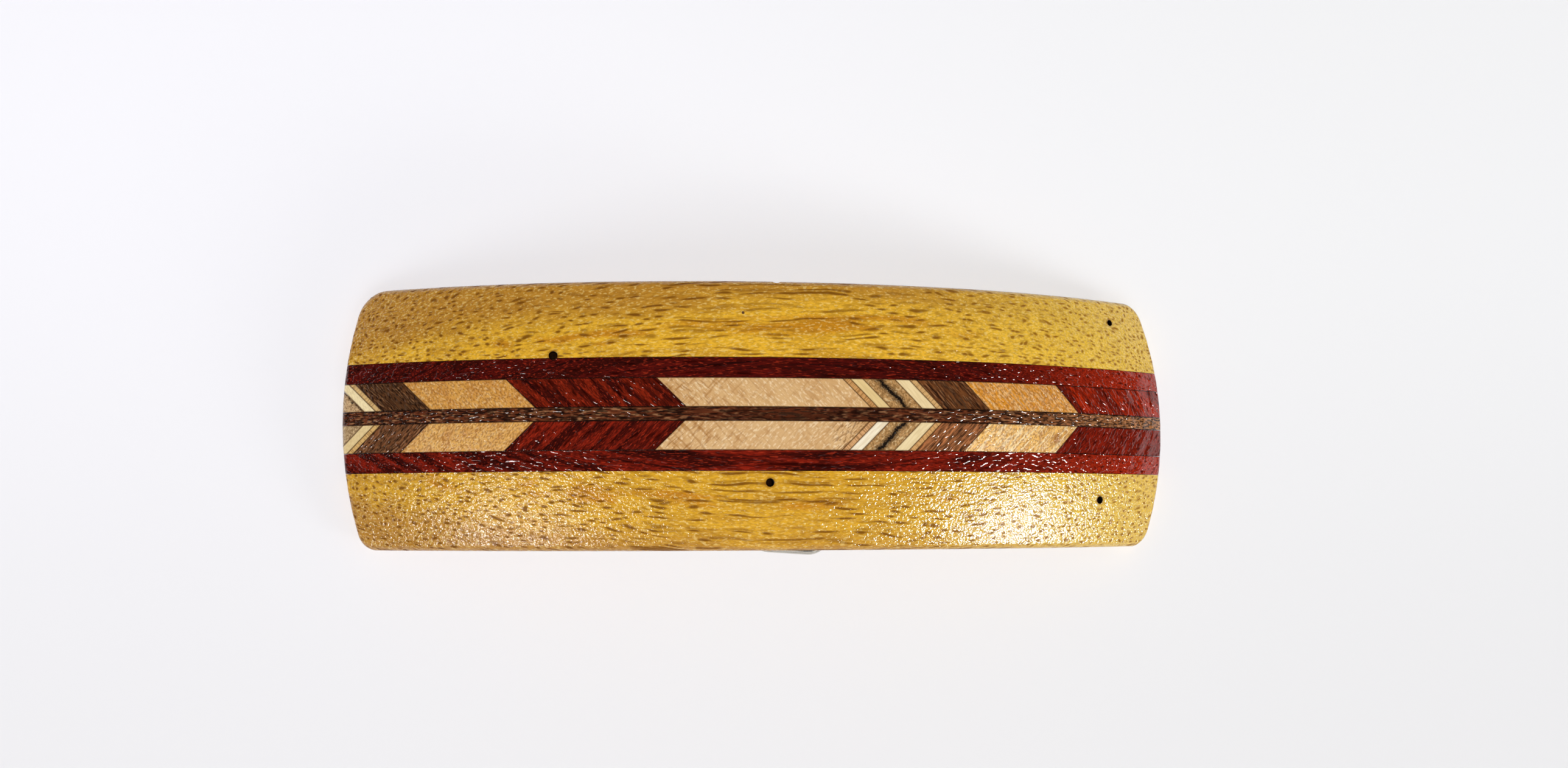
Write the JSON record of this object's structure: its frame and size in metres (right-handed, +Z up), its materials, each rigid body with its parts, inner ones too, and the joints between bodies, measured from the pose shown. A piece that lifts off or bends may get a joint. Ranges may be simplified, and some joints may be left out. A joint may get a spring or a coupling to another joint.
{
  "type": "wooden hair barrette",
  "caption": "Arched, laminated wooden hair barrette with an arrow inlay and a steel hair clip underneath.",
  "frame": {"origin": "on the surface that the barrette rests on, under the middle of the slab", "axes": "+X along the barrette, the way the arrows point; +Y across it towards the back edge; +Z up, out of the crowned top"},
  "size_m": [0.1045, 0.0323, 0.0218],
  "materials": {
    "osage_orange": "gloss varnish over open pores",
    "padauk": "gloss varnish",
    "walnut": "gloss varnish",
    "cherry": "gloss varnish",
    "maple": "gloss varnish",
    "holly": "gloss varnish",
    "birch_ply": "gloss varnish",
    "spalted_maple": "gloss varnish",
    "nickel_steel": "polished nickel plate"
  },
  "bodies": {
    "root": {"back_rail": "osage_orange", "front_rail": "osage_orange", "back_red_strip": "padauk", "front_red_strip": "padauk", "spine": "walnut", "clip": "nickel_steel", "back_spalt_1": "spalted_maple", "back_cream_1": "holly", "back_tan_1": "birch_ply", "back_walnut_1": "walnut", "back_cherry_1": "cherry", "back_padauk_1": "padauk", "back_maple": "maple", "back_tan_2": "birch_ply", "back_cream_2": "holly", "back_spalt_2": "spalted_maple", "back_cream_3": "holly", "back_tan_3": "birch_ply", "back_walnut_2": "walnut", "back_cherry_2": "cherry", "back_padauk_2": "padauk", "front_spalt_1": "spalted_maple", "front_cream_1": "holly", "front_tan_1": "birch_ply", "front_walnut_1": "walnut", "front_cherry_1": "cherry", "front_padauk_1": "padauk", "front_maple": "maple", "front_tan_2": "birch_ply", "front_cream_2": "holly", "front_spalt_2": "spalted_maple", "front_cream_3": "holly", "front_tan_3": "birch_ply", "front_walnut_2": "walnut", "front_cherry_2": "cherry", "front_padauk_2": "padauk"}
  },
  "joints": []
}
